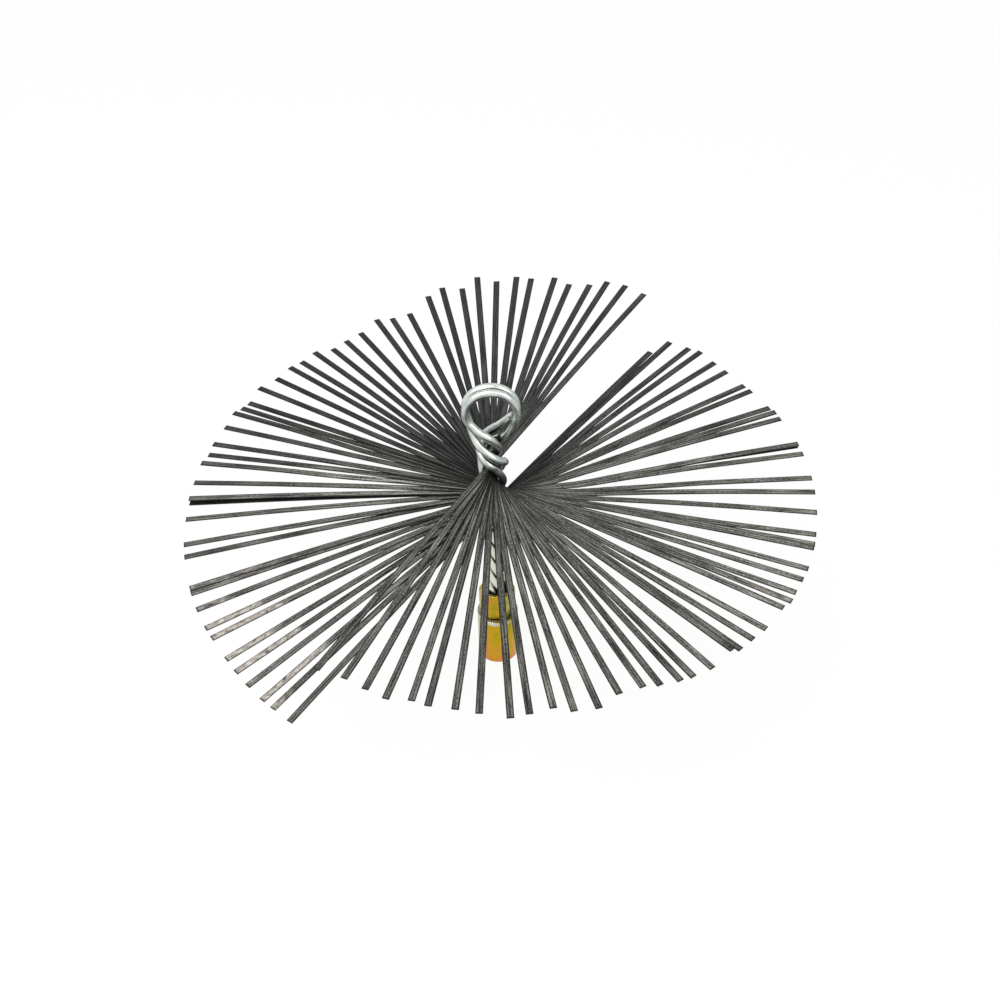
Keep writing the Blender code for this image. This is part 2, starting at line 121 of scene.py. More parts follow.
class Nodes:
    """Short names for building a node tree."""

    def __init__(self, name):
        self.material = bpy.data.materials.new(name)
        self.material.use_nodes = True
        self.tree = self.material.node_tree
        self.shader = self.tree.nodes["Principled BSDF"]

    def add(self, kind, **settings):
        node = self.tree.nodes.new(kind)
        for key, value in settings.items():
            setattr(node, key, value)
        return node

    def link(self, source, target):
        self.tree.links.new(source, target)

    def feed(self, node, socket, value):
        if isinstance(value, bpy.types.NodeSocket):
            self.link(value, node.inputs[socket])
        else:
            node.inputs[socket].default_value = value

    def math(self, operation, first, second=0.0, third=0.0):
        node = self.add("ShaderNodeMath", operation=operation)
        self.feed(node, 0, first)
        self.feed(node, 1, second)
        self.feed(node, 2, third)
        return node.outputs[0]

    def uv(self):
        return self.add("ShaderNodeUVMap", uv_map="UVMap").outputs["UV"]

    def painted(self, name):
        return self.add("ShaderNodeAttribute", attribute_name=name).outputs["Fac"]

    def scaled(self, colour, amount):
        node = self.add("ShaderNodeVectorMath", operation="SCALE")
        self.feed(node, 0, colour)
        self.feed(node, 3, amount)
        return node.outputs[0]

    def object_place(self):
        return self.add("ShaderNodeTexCoord").outputs["Object"]

    def split(self, vector):
        node = self.add("ShaderNodeSeparateXYZ")
        self.link(vector, node.inputs[0])
        return node.outputs[0], node.outputs[1], node.outputs[2]

    def stretched(self, vector, scale):
        node = self.add("ShaderNodeMapping")
        self.link(vector, node.inputs["Vector"])
        node.inputs["Scale"].default_value = scale
        return node.outputs[0]

    def noise(self, vector, scale, detail=3.0, roughness=0.55, distortion=0.0):
        node = self.add("ShaderNodeTexNoise")
        self.link(vector, node.inputs["Vector"])
        node.inputs["Scale"].default_value = scale
        node.inputs["Detail"].default_value = detail
        node.inputs["Roughness"].default_value = roughness
        node.inputs["Distortion"].default_value = distortion
        return node.outputs["Fac"]

    def ramp(self, value, stops):
        """A blend through (place, grey or colour) stops."""
        node = self.add("ShaderNodeValToRGB")
        self.link(value, node.inputs[0])
        elements = node.color_ramp.elements
        while len(elements) < len(stops):
            elements.new(0.5)
        for element, (place, colour) in zip(elements, stops):
            element.position = place
            shade = colour if isinstance(colour, tuple) else (colour, colour, colour)
            element.color = (*shade, 1.0)
        return node.outputs[0]

    def mix(self, share, first, second):
        node = self.add("ShaderNodeMix", data_type="RGBA")
        self.feed(node, 0, share)
        for socket, value in ((6, first), (7, second)):
            if isinstance(value, tuple):
                value = (*value, 1.0)
            self.feed(node, socket, value)
        return node.outputs[2]

    def from_axis(self, place):
        """Distance from the stem's axis in centimetres."""
        node = self.add("ShaderNodeVectorMath", operation="LENGTH")
        self.link(self.stretched(place, (100.0, 100.0, 0.0)), node.inputs[0])
        return node.outputs["Value"]

    def bump(self, height, distance, strength):
        node = self.add("ShaderNodeBump")
        node.inputs["Strength"].default_value = strength
        node.inputs["Distance"].default_value = distance
        self.link(height, node.inputs["Height"])
        self.link(node.outputs[0], self.shader.inputs["Normal"])


def strip_material():
    """Dark rolled spring steel, with painted light, shade and bluish reflection by direction, painted
    highlight lines and painted shade along the edges. The map runs from 0 to 1 across the face and in
    metres along it.
    """
    n = Nodes("spring_steel_rolled")
    uv = n.uv()
    across, along, _ = n.split(uv)
    # level carries the painted light and shade by direction; cool carries a painted bluish reflection
    level = n.painted("level")
    wear = n.painted("tip_wear")
    cool = n.painted("cool")
    from_end = n.painted("from_end")

    streaks = n.noise(n.stretched(uv, (5.4, 62.0, 1.0)), 1.0, 2.0, 0.5)
    threads = n.noise(n.stretched(uv, (6.5, 900.0, 1.0)), 1.0, 2.0, 0.5)
    patches = n.noise(n.stretched(uv, (1.0, 80.0, 1.0)), 1.0, 2.0, 0.5)
    tone = n.math("MULTIPLY_ADD", threads, 0.38, n.math("MULTIPLY", streaks, 0.52))
    tone = n.math("MULTIPLY_ADD", patches, 0.10, tone)
    strength = n.ramp(tone, [(0.40, 0.05), (0.46, 0.23), (0.53, 0.47), (0.60, 1.0)])
    strength = n.math("MULTIPLY", strength, 2.4)
    # Painted reflection where cool is painted: calmer streaks and a bluish tint
    calm = n.math("MULTIPLY", cool, 0.30)
    strength = n.math("ADD", n.math("MULTIPLY", strength, n.math("SUBTRACT", 1.0, calm)), calm)
    tint = n.mix(cool, (1.0, 0.985, 0.88), (0.90, 1.0, 1.10))
    steel = n.scaled(tint, n.math("MULTIPLY", strength, level))

    bare_tone = n.noise(n.stretched(uv, (2.6, 330.0, 1.0)), 1.0, 3.0, 0.6)
    bare = n.ramp(bare_tone, [
        (0.36, (0.22, 0.205, 0.18)),
        (0.49, (0.35, 0.325, 0.29)),
        (0.62, (0.53, 0.50, 0.455)),
    ])
    slant = n.math("ADD", n.math("MULTIPLY", across, 0.8), n.math("MULTIPLY", along, 880.0))
    hatch = n.math("MULTIPLY_ADD", n.math("SINE", n.math("MULTIPLY", slant, 2 * math.pi)), 0.5, 0.5)
    bare = n.mix(n.math("MULTIPLY", n.math("MULTIPLY", hatch, patches), 0.34), bare, (0.10, 0.09, 0.08))
    blots = n.noise(n.stretched(uv, (2.4, 420.0, 1.0)), 1.0, 2.0, 0.5)
    bare = n.mix(n.ramp(blots, [(0.60, 0.0), (0.68, 0.85)]), bare, (0.045, 0.040, 0.032))
    broken = n.noise(n.stretched(uv, (1.7, 150.0, 1.0)), 1.0, 4.0, 0.7)
    shown = n.math("MULTIPLY_ADD", broken, 1.0, n.math("MULTIPLY_ADD", wear, 1.25, -1.0))
    worn = n.ramp(shown, [(0.02, 0.0), (0.30, 1.0)])
    colour = n.mix(worn, steel, bare)

    from_middle = n.math("ABSOLUTE", n.math("SUBTRACT", across, 0.5))
    # Painted highlight: a broken light line along each side of the face
    glint = n.noise(n.stretched(uv, (0.6, 90.0, 1.0)), 1.0, 2.0, 0.5)
    glint = n.ramp(glint, [(0.42, 0.0), (0.62, 1.0)])
    line = n.ramp(from_middle, [(0.10, 0.0), (0.22, 1.0), (0.31, 0.0)])
    line = n.math("MULTIPLY", n.math("MULTIPLY", line, glint), n.math("SUBTRACT", 0.75, calm))
    colour = n.mix(line, colour, n.scaled((1.0, 0.98, 0.90), n.math("MULTIPLY", level, 2.6)))
    ragged = n.math("MULTIPLY_ADD", n.math("SUBTRACT", threads, 0.5), 0.16, from_middle)
    specks = n.noise(n.stretched(uv, (2.2, 260.0, 1.0)), 1.0, 2.0, 0.5)
    colour = n.mix(n.ramp(specks, [(0.66, 0.0), (0.72, 0.75)]), colour, (0.020, 0.018, 0.016))
    # Painted shade: near-black along both edges of the face
    edge = n.ramp(ragged, [(0.33, 0.0), (0.43, 0.92)])
    colour = n.mix(edge, colour, (0.012, 0.012, 0.012))
    cut = n.ramp(n.math("MULTIPLY", from_end, 1000.0), [(0.34, 0.90), (0.80, 0.0)])
    colour = n.mix(cut, colour, (0.030, 0.022, 0.014))
    n.link(colour, n.shader.inputs["Base Color"])

    rough = n.ramp(streaks, [(0.3, 0.36), (0.7, 0.52)])
    n.link(n.math("MULTIPLY_ADD", worn, 0.28, rough), n.shader.inputs["Roughness"])
    n.shader.inputs["Metallic"].default_value = 0.85
    n.bump(n.math("MULTIPLY_ADD", threads, 0.4, n.math("MULTIPLY", streaks, 0.6)), 0.00003, 0.5)
    return n.material


def wire_material():
    """Bright galvanised wire: draw lines along it, painted shade where wires meet, and painted light and
    shade by which way the surface faces.
    """
    n = Nodes("galvanised_wire_drawn")
    uv = n.uv()
    place = n.object_place()
    lines = n.noise(n.stretched(uv, (16.0, 1.6, 1.0)), 1.0, 3.0, 0.6)
    cloud = n.noise(place, 210.0, 3.0, 0.55)
    tone = n.math("MULTIPLY_ADD", lines, 0.60, n.math("MULTIPLY", cloud, 0.40))
    zinc = n.ramp(tone, [
        (0.36, (0.31, 0.35, 0.33)),
        (0.50, (0.45, 0.49, 0.47)),
        (0.64, (0.62, 0.64, 0.60)),
    ])
    zinc = n.mix(n.ramp(cloud, [(0.50, 0.0), (0.66, 0.35)]), zinc, (0.50, 0.50, 0.36))
    _, _, height = n.split(place)
    low = n.ramp(n.math("MULTIPLY", height, 10.0), [(0.60, 0.65), (0.80, 0.0)])
    zinc = n.mix(low, zinc, (0.58, 0.565, 0.46))
    # Painted light and shade: lighter where the surface faces the painted light's direction, darker where
    # it faces away
    bright = n.ramp(n.painted("painted_light_facing"), [(0.10, 0.16), (0.38, 0.42), (0.66, 0.68), (0.88, 1.0)])
    zinc = n.scaled(zinc, n.math("MULTIPLY", bright, 1.35))
    # Painted shade where wires touch and on the inner sides in the neck
    crevice = n.ramp(n.painted("crevice"), [(0.20, 0.0), (0.85, 0.95)])
    colour = n.mix(crevice, zinc, (0.016, 0.022, 0.018))
    n.link(colour, n.shader.inputs["Base Color"])
    n.link(n.ramp(cloud, [(0.3, 0.22), (0.7, 0.34)]), n.shader.inputs["Roughness"])
    n.shader.inputs["Metallic"].default_value = 1.0
    n.bump(lines, 0.00004, 0.4)
    return n.material


def sleeve_material():
    """Yellow chromated zinc on the sleeve: gold, orange and pink lower down, a pale band at its top that is
    partly a painted highlight and partly thinner plating, and a painted shadow under the collar.
    """
    n = Nodes("yellow_zinc_sleeve")
    place = n.object_place()
    x, _, z = n.split(place)
    clouds = n.noise(n.stretched(place, (1.0, 1.0, 0.7)), 240.0, 3.0, 0.55, 0.5)
    lower = n.ramp(n.math("MULTIPLY", z, 50.0), [(0.05, 0.24), (0.45, 0.08), (0.95, 0.0)])
    rightward = n.math("MULTIPLY", x, -9.0)
    driver = n.math("ADD", n.math("MULTIPLY_ADD", clouds, 0.62, 0.17), n.math("ADD", lower, rightward))
    plate = n.ramp(driver, [
        (0.36, (0.34, 0.27, 0.012)),
        (0.46, (0.50, 0.34, 0.012)),
        (0.58, (0.60, 0.33, 0.015)),
        (0.68, (0.62, 0.24, 0.030)),
        (0.78, (0.74, 0.22, 0.12)),
    ])
    # Partly painted highlight, partly thinner plating: a pale band round the top, stronger on the left
    from_top = n.math("MULTIPLY", n.math("SUBTRACT", SLEEVE_HEIGHT, z), 200.0)
    ragged = n.math("MULTIPLY_ADD", n.math("SUBTRACT", clouds, 0.5), 0.5, from_top)
    highlight_and_thin_plating = n.ramp(ragged, [(0.22, 0.95), (0.46, 0.0)])
    highlight_side = n.ramp(n.math("MULTIPLY_ADD", x, 100.0, 0.5), [(0.30, 1.0), (0.75, 0.25)])
    plate = n.mix(n.math("MULTIPLY", highlight_and_thin_plating, highlight_side), plate, (0.66, 0.66, 0.58))
    # Painted shadow on the top face under the collar's edge
    under_collar = n.ramp(n.from_axis(place), [(0.63, 0.95), (0.67, 0.0)])
    below_top = n.math("MULTIPLY", n.math("SUBTRACT", SLEEVE_HEIGHT, z), 1000.0)
    top_face = n.ramp(below_top, [(0.25, 1.0), (0.35, 0.0)])
    plate = n.mix(n.math("MULTIPLY", under_collar, top_face), plate, (0.03, 0.022, 0.008))
    bottom = n.ramp(n.math("MULTIPLY", z, 1000.0), [(0.35, 0.70), (0.90, 0.0)])
    plate = n.mix(bottom, plate, (0.16, 0.08, 0.02))
    finish_zinc(n, place, x, plate)
    return n.material


def collar_material():
    """Yellow chromated zinc on the collar: ochre in front, olive to the right, painted shade at the seam
    and in the mouth, and a painted highlight on the top edge.
    """
    n = Nodes("yellow_zinc_collar")
    place = n.object_place()
    x, _, z = n.split(place)
    clouds = n.noise(place, 260.0, 3.0, 0.55, 0.5)
    side_tone = n.ramp(n.math("MULTIPLY_ADD", x, 100.0, 0.5), [(0.20, 0.04), (0.84, 0.0)])
    green = n.ramp(n.math("MULTIPLY", x, 100.0), [(0.28, 0.0), (0.36, 1.0)])
    driver = n.math("ADD", clouds, side_tone)
    plate = n.ramp(driver, [
        (0.44, (0.34, 0.30, 0.012)),
        (0.54, (0.50, 0.32, 0.012)),
        (0.64, (0.56, 0.26, 0.030)),
        (0.74, (0.70, 0.26, 0.12)),
    ])
    olive = n.ramp(clouds, [(0.42, (0.20, 0.24, 0.012)), (0.58, (0.40, 0.38, 0.015))])
    plate = n.mix(green, plate, olive)
    # Painted shade along the seam with the sleeve
    from_seam = n.math("MULTIPLY", n.math("SUBTRACT", z, COLLAR_BOTTOM), 1000.0)
    plate = n.mix(n.ramp(from_seam, [(0.10, 0.9), (0.32, 0.0)]), plate, (0.03, 0.022, 0.008))
    # Painted highlight along the top edge
    rim = n.math("MULTIPLY", n.math("SUBTRACT", COLLAR_TOP, z), 1000.0)
    plate = n.mix(n.ramp(rim, [(0.05, 0.75), (0.45, 0.0)]), plate, (0.74, 0.62, 0.22))
    # Painted shade inside the mouth
    inside = n.ramp(n.from_axis(place), [(0.545, 0.97), (0.575, 0.0)])
    plate = n.mix(inside, plate, (0.012, 0.012, 0.008))
    finish_zinc(n, place, x, plate)
    return n.material


def finish_zinc(n, place, x, plate):
    """What both zinc pieces share: paler green far sides as a painted reflection, turning marks, fine grain
    and gloss.
    """
    # Painted reflection: paler green towards the far left and right sides
    sides = n.ramp(n.math("MULTIPLY", n.math("ABSOLUTE", x), 100.0), [(0.62, 0.0), (0.82, 0.75)])
    plate = n.mix(sides, plate, (0.48, 0.54, 0.33))
    turned = n.noise(n.stretched(place, (40.0, 40.0, 2600.0)), 1.0, 2.0, 0.5)
    fine = n.noise(place, 1500.0, 3.0, 0.6)
    plate = n.mix(n.math("MULTIPLY", turned, 0.16), plate, (0.30, 0.19, 0.01))
    n.link(plate, n.shader.inputs["Base Color"])
    n.link(n.ramp(fine, [(0.3, 0.20), (0.7, 0.34)]), n.shader.inputs["Roughness"])
    n.shader.inputs["Metallic"].default_value = 0.95
    n.bump(n.math("MULTIPLY_ADD", fine, 0.3, turned), 0.00001, 0.4)


# Mesh helpers

def grid_piece(name, points, uvs, material, cap_ends, painted=None):
    """A mesh from rows of points. Rows join up, and each row closes on itself."""
    rows, count = points.shape[:2]
    vertices = points.reshape(-1, 3)
    faces = []
    corners = []
    for i in range(rows - 1):
        for j in range(count):
            after = (j + 1) % count
            faces.append((i * count + j, i * count + after, (i + 1) * count + after, (i + 1) * count + j))
            corners += [(i, j), (i, j + 1), (i + 1, j + 1), (i + 1, j)]
    if cap_ends:
        last = (rows - 1) * count
        faces.append(tuple(range(count - 1, -1, -1)))
        corners += [(0, j) for j in range(count - 1, -1, -1)]
        faces.append(tuple(range(last, last + count)))
        corners += [(rows - 1, j) for j in range(count)]
    mesh = bpy.data.meshes.new(name)
    mesh.from_pydata(vertices.tolist(), [], faces)
    layer = mesh.uv_layers.new(name="UVMap")
    layer.data.foreach_set("uv", np.array([uvs[c] for c in corners], dtype=np.float32).ravel())
    for attribute, values in (painted or {}).items():
        made = mesh.attributes.new(attribute, "FLOAT", "POINT")
        made.data.foreach_set("value", np.asarray(values, dtype=np.float32).ravel())
    mesh.shade_smooth()
    mesh.set_sharp_from_angle(angle=math.radians(38.0))
    mesh.materials.append(material)
    piece = bpy.data.objects.new(name, mesh)
    bpy.context.scene.collection.objects.link(piece)
    return piece


def face_outwards(piece):
    """Turns all faces outwards, going by the sign of the mesh's volume."""
    mesh = piece.data
    mesh.calc_loop_triangles()
    places = np.empty(len(mesh.vertices) * 3, dtype=np.float32)
    mesh.vertices.foreach_get("co", places)
    places = places.reshape(-1, 3)
    corners = np.array([t.vertices[:] for t in mesh.loop_triangles])
    first, second, third = (places[corners[:, k]] for k in range(3))
    if np.einsum("ij,ij->i", first, np.cross(second, third)).sum() < 0:
        mesh.flip_normals()
    return piece


def dress(piece, slot, *nodes):
    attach(piece, "root")
    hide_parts(*nodes)


def smooth_step(low, high, value):
    share = np.clip((value - low) / (high - low), 0.0, 1.0)
    return share * share * (3 - 2 * share)


def smooth_through(xs, ys, wanted):
    """A curve through the points, rising or falling only where they do."""
    xs = np.asarray(xs, float)
    ys = np.asarray(ys, float)
    steps = np.diff(xs)
    slopes = np.diff(ys) / steps
    tangents = np.empty(len(xs))
    tangents[0] = slopes[0]
    tangents[-1] = slopes[-1]
    for i in range(1, len(xs) - 1):
        if slopes[i - 1] * slopes[i] <= 0:
            tangents[i] = 0.0
            continue
        before = 2 * steps[i] + steps[i - 1]
        after = steps[i] + 2 * steps[i - 1]
        tangents[i] = (before + after) / (before / slopes[i - 1] + after / slopes[i])
    wanted = np.asarray(wanted, float)
    span = np.clip(np.searchsorted(xs, wanted) - 1, 0, len(steps) - 1)
    t = (wanted - xs[span]) / steps[span]
    start = (1 + 2 * t) * (1 - t) ** 2 * ys[span] + t * (1 - t) ** 2 * steps[span] * tangents[span]
    end = t * t * (3 - 2 * t) * ys[span + 1] + t * t * (t - 1) * steps[span] * tangents[span + 1]
    return start + end


# Strips

# Painted light and shade on the steel by direction, in degrees counter-clockwise from +X, as shares of
# white:
# near the stem and near the tips
LIGHT_DIRECTIONS = (
    0, 20, 40, 60, 90, 120, 140, 155, 165, 180,
    200, 215, 235, 250, 262, 275, 295, 315, 330, 345, 360,
)
INNER_LIGHT_SHARES = (
    0.39, 0.39, 0.34, 0.28, 0.23, 0.21, 0.24, 0.34, 0.50, 0.41,
    0.38, 0.37, 0.40, 0.39, 0.34, 0.40, 0.38, 0.39, 0.36, 0.37, 0.39,
)
OUTER_LIGHT_SHARES = (
    0.43, 0.33, 0.29, 0.25, 0.22, 0.18, 0.20, 0.24, 0.29, 0.39,
    0.37, 0.38, 0.36, 0.36, 0.35, 0.38, 0.37, 0.42, 0.49, 0.44, 0.43,
)

# Painted bluish reflection on the steel by direction
COOL_DIRECTIONS = (0, 30, 55, 70, 128, 142, 360)
COOL_SHARES = (0.0, 0.1, 0.8, 1.0, 0.8, 0.1, 0.0)

# Worn bright ends by strip: how worn, and where along the half strip the wear starts
FAR_WEAR_SHARES = {
    38: (0.46, 0.50), 39: (0.42, 0.55), 40: (0.50, 0.72), 41: (0.95, 0.74), 42: (0.92, 0.68),
    43: (0.95, 0.75), 44: (0.95, 0.69), 45: (0.50, 0.78), 46: (0.80, 0.65), 47: (0.72, 0.82),
    48: (0.85, 0.92),
}
NEAR_WEAR_SHARES = {
    19: (0.42, 0.70), 25: (0.50, 0.72), 26: (0.42, 0.70), 31: (0.42, 0.60), 34: (0.40, 0.60),
}

# Far halves in the shadow of the strip on top of them, with their light as a share of the others'
SHADED_FAR_SHARES = {34: 0.30}


def strip_rows(node):
    """Centres of the CAD strip's cross-sections from end to end."""
    places = np.empty(len(node.data.vertices) * 3, dtype=np.float32)
    node.data.vertices.foreach_get("co", places)
    places = np.unique(places.reshape(-1, 3).astype(float).round(7), axis=0)
    middle = places.mean(axis=0)
    _, _, axes = np.linalg.svd(places - middle, full_matrices=False)
    order = np.argsort((places - middle) @ axes[0])
    return places[order].reshape(-1, 4, 3).mean(axis=1)


def section_outline():
    """One cross-section of a strip: flat faces with rounded edges, as (across, up)."""
    half_width = STRIP_WIDTH / 2
    half_thick = STRIP_THICKNESS / 2
    flat = half_width - half_thick
    outline = []
    for share in (-1.0, -0.5, 0.0, 0.5, 1.0):
        outline.append((flat * share, half_thick))
    for degrees in (50.0, 0.0, -50.0):
        angle = math.radians(degrees)
        outline.append((flat + half_thick * math.cos(angle), half_thick * math.sin(angle)))
    for share in (1.0, 0.5, 0.0, -0.5, -1.0):
        outline.append((flat * share, -half_thick))
    for degrees in (-50.0, 0.0, 50.0):
        angle = math.radians(degrees)
        outline.append((-flat - half_thick * math.cos(angle), half_thick * math.sin(angle)))
    return outline


def linear(shown):
    """Linear light for a brightness as a picture shows it."""
    return ((shown + 0.055) / 1.055) ** 2.4


def half_is_far(route, index):
    """True at the stations on the half that starts out on the far side in the fan's order."""
    even = FIRST_STRIP_ANGLE + (index - 1) * STRIP_TURN
    return route[:, 0] * math.cos(even) + route[:, 1] * math.sin(even) > 0


def wear_along(from_middle, share, start):
    return share * smooth_step(start - WEAR_LEAD, start + WEAR_SPAN, from_middle)


def paint_strip(index, route, wanted, length, from_middle):
    """The strip's painted values at each station, which its material reads."""
    direction = np.degrees(np.arctan2(route[:, 1], route[:, 0])) % 360.0
    far = half_is_far(route, index)
    # Painted light and shade by direction, from the stem's shares to the tips' shares
    inner = np.interp(direction, LIGHT_DIRECTIONS, INNER_LIGHT_SHARES)
    outer = np.interp(direction, LIGHT_DIRECTIONS, OUTER_LIGHT_SHARES)
    light = inner + (outer - inner) * smooth_step(0.4, 0.9, from_middle)
    far_light = rng.uniform(1 - LIGHT_SPREAD, 1 + LIGHT_SPREAD)
    near_light = rng.uniform(1 - LIGHT_SPREAD, 1 + LIGHT_SPREAD)
    own = np.where(far, far_light, near_light)
    shade = np.where(far, SHADED_FAR_SHARES.get(index, 1.0), 1.0)
    shade = 1 + (shade - 1) * smooth_step(0.05, 0.25, from_middle)
    wear = np.where(
        far,
        wear_along(from_middle, *FAR_WEAR_SHARES.get(index, (0.0, 0.5))),
        wear_along(from_middle, *NEAR_WEAR_SHARES.get(index, (0.0, 0.5))),
    )
    # Painted bluish reflection by direction, stronger towards the tips
    cool = np.interp(direction, COOL_DIRECTIONS, COOL_SHARES)
    return {
        "tip_wear": wear,
        "level": linear(light * own * shade) * STEEL_GAIN,
        "cool": cool * (0.4 + 0.6 * smooth_step(0.35, 0.8, from_middle)),
        "from_end": np.minimum(wanted, length - wanted),
    }


def add_strip(name, node, index, material):
    centres = strip_rows(node)
    steps = np.linalg.norm(np.diff(centres, axis=0), axis=1)
    reach = np.concatenate([[0.0], np.cumsum(steps)])
    length = reach[-1]
    wanted = np.linspace(BOX_MARGIN, length - BOX_MARGIN, STRIP_STATIONS)
    route = np.stack([smooth_through(reach, centres[:, k], wanted) for k in range(3)], axis=1)
    ahead = np.gradient(route, axis=0)
    ahead /= np.linalg.norm(ahead, axis=1)[:, None]
    side = np.cross(ahead, (0.0, 0.0, 1.0))
    side /= np.linalg.norm(side, axis=1)[:, None]
    up = np.cross(side, ahead)

    from_middle = np.abs(wanted - length / 2) / (length / 2)
    ends = rng.uniform(-1.0, 1.0, 2) * STRIP_TWIST
    twist = np.where(wanted < length / 2, ends[0], ends[1])
    twist = twist * np.maximum(from_middle - TWIST_START, 0.0) / (1 - TWIST_START)
    twist = twist + FACE_LEAN * side[:, 1] * smooth_step(0.15, 0.45, from_middle)
    outline = section_outline()
    count = len(outline)
    points = np.empty((STRIP_STATIONS, count, 3))
    uvs = {}
    for j, (across, lift) in enumerate(outline):
        turned_across = across * np.cos(twist) - lift * np.sin(twist)
        turned_lift = across * np.sin(twist) + lift * np.cos(twist)
        points[:, j] = route + side * turned_across[:, None] + up * turned_lift[:, None]
    for i in range(STRIP_STATIONS):
        for j in range(count + 1):
            across = outline[j % count][0] / STRIP_WIDTH + 0.5
            uvs[i, j] = (across, wanted[i] + index * PATTERN_SHIFT)

    painted = paint_strip(index, route, wanted, length, from_middle)
    painted = {key: np.repeat(values, count) for key, values in painted.items()}
    piece = grid_piece(name, points, uvs, material, True, painted)
    face_outwards(piece)
    dress(piece, "spring_steel", node.name)


# Wires, on the CAD model's routes, with their legs slightly nearer to the axis

WIRE_DIAMETER = 0.0032
WIRE_RADIUS = WIRE_DIAMETER / 2
WIRE_CLEARANCE = 0.0003
STRIP_TO_WIRE_CLEARANCE = 0.0002
ROPE_RADIUS = 0.00258
ROPE_PITCH = 0.034
EYE_CENTRE_HEIGHT = 0.13081
EYE_RADIUS = 0.0099
EYE_ARC_BELOW_CENTRE = math.radians(22.0)
PACK_DRIFT = -0.0004
EYE_DRIFT = PACK_DRIFT / 2
PACK_TOP = 0.10441
PACK_BOTTOM = 0.08279
STRIP_SPACING = 0.00046
PACK_TURN_RATE = STRIP_TURN / STRIP_SPACING
WIRE_SEATING = 0.0150
WIRE_END_HEIGHT = COLLAR_TOP - WIRE_SEATING
LEG_ACROSS_STRIP = STRIP_WIDTH / 2 + STRIP_TO_WIRE_CLEARANCE + WIRE_RADIUS + WIRE_CLEARANCE / 2
LEG_ALONG_STRIP = WIRE_RADIUS + 3 * WIRE_CLEARANCE
PACK_LEG_RADIUS = math.hypot(LEG_ALONG_STRIP, LEG_ACROSS_STRIP)
PACK_LEG_ANGLE = math.atan2(LEG_ACROSS_STRIP, LEG_ALONG_STRIP)
ROPE_LEG_ANGLE = math.radians(45.0)
PACK_MARGIN = 2 * WIRE_CLEARANCE
ROPE_EASE = 2 * WIRE_DIAMETER

# Route of each leg between the pack and the eye: height as a share of that stretch,
# angle round the stem in degrees, and distance from the axis as a share of the wire's diameter
FRONT_LEFT_SHARES = (
    (0.15, 402.0, 0.85), (0.26, 362.0, 0.75), (0.38, 318.0, 0.82), (0.535, 270.0, 1.04),
    (0.64, 229.0, 1.48), (0.71, 206.0, 2.02), (0.79, 196.0, 2.50),
)
BACK_LEFT_SHARES = (
    (0.07, 340.0, 1.66), (0.145, 312.0, 1.74), (0.31, 259.0, 1.66), (0.475, 206.0, 1.92),
    (0.60, 184.0, 2.26), (0.70, 173.0, 2.56), (0.80, 169.0, 2.84),
)
BACK_RIGHT_SHARES = (
    (0.09, 263.0, 1.53), (0.19, 228.0, 1.50), (0.33, 170.0, 1.45), (0.46, 106.0, 1.45),
    (0.58, 55.0, 1.65), (0.70, 31.0, 2.12), (0.80, 20.0, 2.66),
)
FRONT_RIGHT_SHARES = (
    (0.10, 164.0, 1.36), (0.20, 128.0, 1.40), (0.30, 78.0, 1.40), (0.42, 28.0, 1.40),
    (0.55, 2.0, 1.98), (0.69, -7.0, 2.55), (0.80, -9.0, 2.86),
)


def stem_turn(height):
    near_angle = FIRST_STRIP_ANGLE + math.pi
    in_pack = PACK_TURN_RATE * (PACK_TOP - np.maximum(height, PACK_BOTTOM))
    in_rope = 2 * math.pi / ROPE_PITCH * (PACK_BOTTOM - np.minimum(height, PACK_BOTTOM))
    return near_angle + in_pack + in_rope


def leg_place(height, along, across):
    """Angle and radius of a leg in the pack and the rope."""
    tight = 1 - smooth_step(PACK_BOTTOM - PACK_MARGIN - ROPE_EASE, PACK_BOTTOM - PACK_MARGIN, height)
    opening = PACK_LEG_ANGLE + (ROPE_LEG_ANGLE - PACK_LEG_ANGLE) * tight
    radius = PACK_LEG_RADIUS + (ROPE_RADIUS - PACK_LEG_RADIUS) * tight
    side = np.where(along > 0, across * opening, math.pi - across * opening)
    return stem_turn(height) + side, radius


def stem_drift(height):
    to_pack = PACK_DRIFT * smooth_step(COLLAR_TOP, PACK_BOTTOM, height)
    return to_pack + (EYE_DRIFT - PACK_DRIFT) * smooth_step(PACK_TOP, EYE_CENTRE_HEIGHT, height)


